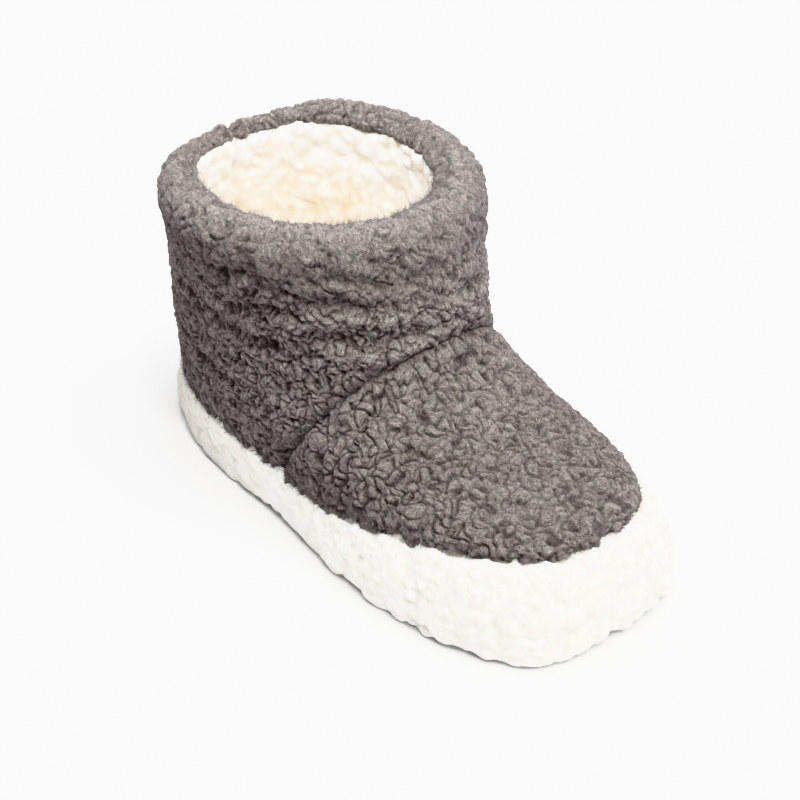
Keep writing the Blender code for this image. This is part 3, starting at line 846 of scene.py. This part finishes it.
def lining():
    """The cream fleece inside, from the collar's lip down to the insole."""
    rng = np.random.default_rng(LINING.seed)
    places = even_places(wall_sections, LINING_START, LINING_END, LINING.pitch, MEDIAL)
    base = round_grid(wall_sections(places), LINING.columns)
    normals = grid_normals(base)
    upright = np.gradient(base, axis=0)
    locks = soften(grow_pile(base, normals, upright, LINING_CLUMPS, LINING_LOCKS, rng), passes=1)
    # Painted shade: clefts darker, most deep in the opening, and the whole lining darker deeper in
    deep = smooth_share(-base[..., 2], -DEEP_FROM, -DEEP_TO)
    painted_shade = (1.0 - locks.shade) * (LINING_CLEAR + (1.0 - LINING_CLEAR) * deep)
    locks = locks._replace(shade=(1.0 - painted_shade) * (1.0 - DEEP_SHADE * deep))
    seam = back_line(LIP_PLACE, FLOOR_PLACE, LINING_BACK_STEPS)
    raised = locks.height + tuck(distance_to(base, base[0]), LINING_LIP)
    raised += fold(distance_to(base, seam), LINING_SEAM)
    face = raised_face(base, normals, all_columns(base), locks, raised, LINING.depth)
    return [
        shell("lining_fleece", face, LINING.back_rows, 0),
        fuzz("lining_fuzz", face, LINING_FUZZ, rng),
    ]


def band():
    """The padded white band round the foot."""
    rng = np.random.default_rng(BAND.seed)
    places = even_places(band_sections, 0.0, BAND_END, BAND.pitch, TOE)
    base = round_grid(band_sections(places), BAND.columns)
    base[..., 2] += smooth_share(places, BULGE_PLACE, FOOT_PLACE)[:, None] * ground(base[..., 0])
    normals = -grid_normals(base)
    upright = np.gradient(base, axis=0)
    locks = soften(grow_pile(base, normals, upright, BAND_CLUMPS, BAND_LOCKS, rng), passes=2)
    # Painted shade: darker in the band's clefts, and much darker towards the heel
    heel = smooth_share(-base[..., 0], *BAND_SHADE_STRETCH)
    painted_shade = (1.0 - BAND_CLEFT_SHADE * (1.0 - locks.shade)) * (1.0 - BAND_HEEL_SHADE * heel)
    locks = locks._replace(shade=painted_shade)
    lumpy = BAND_CALM + (1.0 - BAND_CALM) * smooth_share(base[..., 0], LUMPY_FROM, LUMPY_TO)
    raised = lumpy * locks.height + tuck(distance_to(base, base[0]), BAND_LIP)
    face = raised_face(base, normals, all_columns(base), locks, raised, BAND.depth)
    face.front[..., 2] = np.maximum(face.front[..., 2], FLOOR_CLEARANCE)
    return [
        shell("band_fleece", face, BAND.back_rows, 0),
        fuzz("band_fuzz", face, BAND_FUZZ, rng),
    ]


def sheet_rings(outline, heights, count):
    """Rings of a sheet, from its outline in to its middle, at the height worked out for each inset."""
    insets = np.linspace(0.0, outline.half - SHEET_MIDDLE, count)
    rows = [inset(outline, amount)._replace(height=heights(amount)) for amount in insets]
    return round_grid(Section(*np.array(rows).T), SHEET_COLUMNS)


def insole():
    """The fleece-covered footbed, a little cupped."""
    rng = np.random.default_rng(INSOLE_SEED)
    outline = inset(UPPER_INSIDE[0], -INSOLE_LAP)._replace(height=OUTSOLE_THICKNESS + GAP, lift=0.0)
    level = outline.height + INSOLE_THICKNESS

    def cupped(amount):
        return level - INSOLE_CUP * smooth_share(amount, 0.0, CUP_REACH)

    top = sheet_rings(outline, cupped, INSOLE_RINGS)
    up, ahead = np.broadcast_to(UP, top.shape), np.broadcast_to(AHEAD, top.shape)
    locks = soften(grow_pile(top, up, ahead, INSOLE_CLUMPS, LINING_LOCKS, rng), passes=1)
    top = top + up * locks.height[..., None]
    under = top[:1] * (1.0, 1.0, 0.0) + (0.0, 0.0, outline.height)
    shade = np.concatenate([0.0 * locks.shade[:1], locks.shade])
    local = np.concatenate([0.0 * locks.local[:1], locks.local])
    return [slab("insole_fleece", np.concatenate([under, top]), shade, local)]


def outsole():
    """The foam sole with its felt walking face."""
    outline = inset(BAND_OUTLINE, BAND_RIM)
    face = sheet_rings(inset(outline, OUTSOLE_BEVEL), lambda amount: 0.0, OUTSOLE_RINGS)
    edges = [outline._replace(height=height) for height in (OUTSOLE_THICKNESS, OUTSOLE_BEVEL)]
    rim = round_grid(Section(*np.array(edges).T), SHEET_COLUMNS)
    rings = np.concatenate([rim, face])
    rings[1:, :, 2] += ground(rings[1:, :, 0])
    return [slab("outsole_felt", rings, np.ones(rings.shape[:2]), rings)]


def fill_in(made, **values):
    """Set some of a shader node's fields and inputs."""
    for name, value in values.items():
        if hasattr(made, name):
            setattr(made, name, value)
        else:
            made.inputs[name.replace("_", " ")].default_value = value
    return made


def node(tree, kind, **values):
    """New shader node with some of its fields and inputs set."""
    return fill_in(tree.nodes.new(kind), **values)


def join(tree, *links):
    """Link nodes, each link from a node's output to another's input."""
    for source, output, target, field in links:
        tree.links.new(source.outputs[output], target.inputs[field])


def matt(name):
    """A material with no gloss, and its node tree and shader."""
    material = bpy.data.materials.new(name)
    material.use_nodes = True
    shader = material.node_tree.nodes["Principled BSDF"]
    fill_in(shader, Roughness=1.0, Specular_IOR_Level=0.1)
    return material, material.node_tree, shader


def fleece(name, look):
    """Curled pile: painted shade between its locks, with fine fibres along each of them."""
    material, tree, shader = matt(name)
    fill_in(shader, Sheen_Weight=0.15, Sheen_Roughness=0.6, Subsurface_Weight=look.glow)
    fill_in(shader, Subsurface_Radius=(1.0, 0.8, 0.6), Subsurface_Scale=0.004)
    # The shade attribute carries painted shade: the ramp turns it from the cleft colour to the top
    # colour
    depth = node(tree, "ShaderNodeAttribute", attribute_name="shade")
    local = node(tree, "ShaderNodeAttribute", attribute_name="lock")
    stretch = node(tree, "ShaderNodeMapping", Scale=(0.5, 2.0, 1.0))
    fibres = node(tree, "ShaderNodeTexNoise", Scale=1.0, Detail=3.0, Roughness=0.75)
    ramp = node(tree, "ShaderNodeValToRGB")
    dark, light = ramp.color_ramp.elements
    dark.color, light.color = (*look.cleft, 1.0), (*look.top, 1.0)
    place = node(tree, "ShaderNodeTexCoord")
    speckle = node(tree, "ShaderNodeTexNoise", Scale=1300.0, Detail=3.0, Roughness=0.8)
    grain = node(tree, "ShaderNodeMath", operation="ADD")
    shade = node(tree, "ShaderNodeMapRange", From_Min=0.75, From_Max=1.25)
    fill_in(shade, To_Min=1.0 - look.contrast, To_Max=1.0 + look.contrast)
    colour = node(tree, "ShaderNodeVectorMath", operation="SCALE")
    bump = node(tree, "ShaderNodeBump", Strength=0.8, Distance=0.0004)
    join(
        tree,
        (local, "Vector", stretch, "Vector"),
        (stretch, "Vector", fibres, "Vector"),
        (place, "Object", speckle, "Vector"),
        (fibres, "Fac", grain, 0),
        (speckle, "Fac", grain, 1),
        (grain, "Value", shade, "Value"),
        (depth, "Fac", ramp, "Fac"),
        (ramp, "Color", colour, 0),
        (shade, "Result", colour, "Scale"),
        (colour, "Vector", shader, "Base Color"),
        (grain, "Value", bump, "Height"),
        (bump, "Normal", shader, "Normal"),
    )
    return material


def felt(name):
    """Pressed felt, mottled between two colours."""
    material, tree, shader = matt(name)
    place = node(tree, "ShaderNodeTexCoord")
    mottle = node(tree, "ShaderNodeTexNoise", Scale=600.0, Detail=4.0, Roughness=0.7)
    ramp = node(tree, "ShaderNodeValToRGB")
    dark, light = ramp.color_ramp.elements
    dark.color, light.color = (*FELT_DARK, 1.0), (*FELT_LIGHT, 1.0)
    dark.position, light.position = 0.3, 0.7
    bump = node(tree, "ShaderNodeBump", Strength=0.6, Distance=0.0004)
    join(
        tree,
        (place, "Object", mottle, "Vector"),
        (mottle, "Fac", ramp, "Fac"),
        (ramp, "Color", shader, "Base Color"),
        (mottle, "Fac", bump, "Height"),
        (bump, "Normal", shader, "Normal"),
    )
    return material


def dress(piece, replaced, material):
    """Give a piece its material, hang it on the body's root, and hide the part that it replaces."""
    piece.data.materials.append(material)
    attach(piece, "root")
    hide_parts(replaced)


def floor():
    """The pale floor under the bootie."""
    half = FLOOR_HALF * MM
    mesh = bpy.data.meshes.new("floor")
    corners = [(-half, -half, 0), (half, -half, 0), (half, half, 0), (-half, half, 0)]
    mesh.from_pydata(corners, [], [(0, 1, 2, 3)])
    obj = bpy.data.objects.new("floor", mesh)
    bpy.context.scene.collection.objects.link(obj)
    material, _, shader = matt("floor")
    fill_in(shader, Base_Color=FLOOR_COLOUR, Roughness=FLOOR_ROUGHNESS)
    mesh.materials.append(material)


def aim_at(target, name, data, azimuth, elevation, distance):
    """Camera or light that looks at a target from an azimuth and elevation in degrees."""
    turn, climb = math.radians(azimuth), math.radians(elevation)
    level = math.cos(climb)
    back = Vector((math.sin(turn) * level, -math.cos(turn) * level, math.sin(climb)))
    obj = bpy.data.objects.new(name, data)
    obj.location = Vector(target) * MM + back * (distance * MM)
    obj.rotation_euler = back.to_track_quat("Z", "Y").to_euler()
    bpy.context.scene.collection.objects.link(obj)
    return obj


def camera():
    """The photo's view."""
    data = bpy.data.cameras.new("camera")
    data.lens = CAMERA_LENS
    data.sensor_width = SENSOR
    bpy.context.scene.camera = aim_at(
        CAMERA_TARGET, "camera", data, CAMERA_AZIMUTH, CAMERA_ELEVATION, CAMERA_DISTANCE
    )


def lamp(name, azimuth, elevation, spread, strength):
    """A far soft light, which lights the whole floor evenly."""
    data = bpy.data.lights.new(name, "SUN")
    data.angle = math.radians(spread)
    data.energy = strength
    aim_at(CAMERA_TARGET, name, data, azimuth, elevation, LAMP_DISTANCE)


def spot(name, target, azimuth, elevation, spread, power):
    """A narrow light with a soft edge, aimed at a point."""
    data = bpy.data.lights.new(name, "SPOT")
    data.spot_size = math.radians(spread)
    data.spot_blend = 1.0
    data.shadow_soft_size = SPOT_RADIUS * MM
    data.energy = power
    aim_at(target, name, data, azimuth, elevation, SPOT_DISTANCE)


def studio():
    """White sky, two lamps, and two spots that light the lining."""
    scene = bpy.context.scene
    scene.view_settings.view_transform = "Khronos PBR Neutral"
    world = bpy.data.worlds.new("studio")
    world.use_nodes = True
    sky = world.node_tree.nodes["Background"]
    fill_in(sky, Color=(1.0, 1.0, 1.0, 1.0), Strength=SKY_STRENGTH)
    scene.world = world
    lamp("key", azimuth=95.0, elevation=50.0, spread=55.0, strength=3.4)
    lamp("top", azimuth=75.0, elevation=78.0, spread=45.0, strength=5.2)
    spot("opening", (-62.0, 8.0, 104.0), azimuth=62.0, elevation=60.0, spread=11.0, power=45.0)
    spot("opening_fill", (-50.0, 0.0, 125.0), azimuth=-40.0, elevation=58.0, spread=10.0, power=16.0)


def main():
    """Make, dress and light the bootie."""
    grey = fleece("grey_fleece", GREY_LOOK)
    white = fleece("white_fleece", WHITE_LOOK)
    cream = fleece("cream_fleece", CREAM_LOOK)
    sole = felt("sole_felt")
    for make, replaced, slot, material, fill in (
        (tube, "upper", "grey_fleece", grey, 0.6),
        (vamp, "upper", "grey_fleece", grey, 0.6),
        (lining, "upper", "cream_fleece", cream, 0.6),
        (band, "sidewall_band", "white_fleece", white, 0.7),
        (insole, "insole", "cream_fleece", cream, 0.8),
        (outsole, "outsole", "sole_felt", sole, None),
    ):
        for piece in make():
            dress(piece, replaced, material)
    floor()
    camera()
    studio()


main()
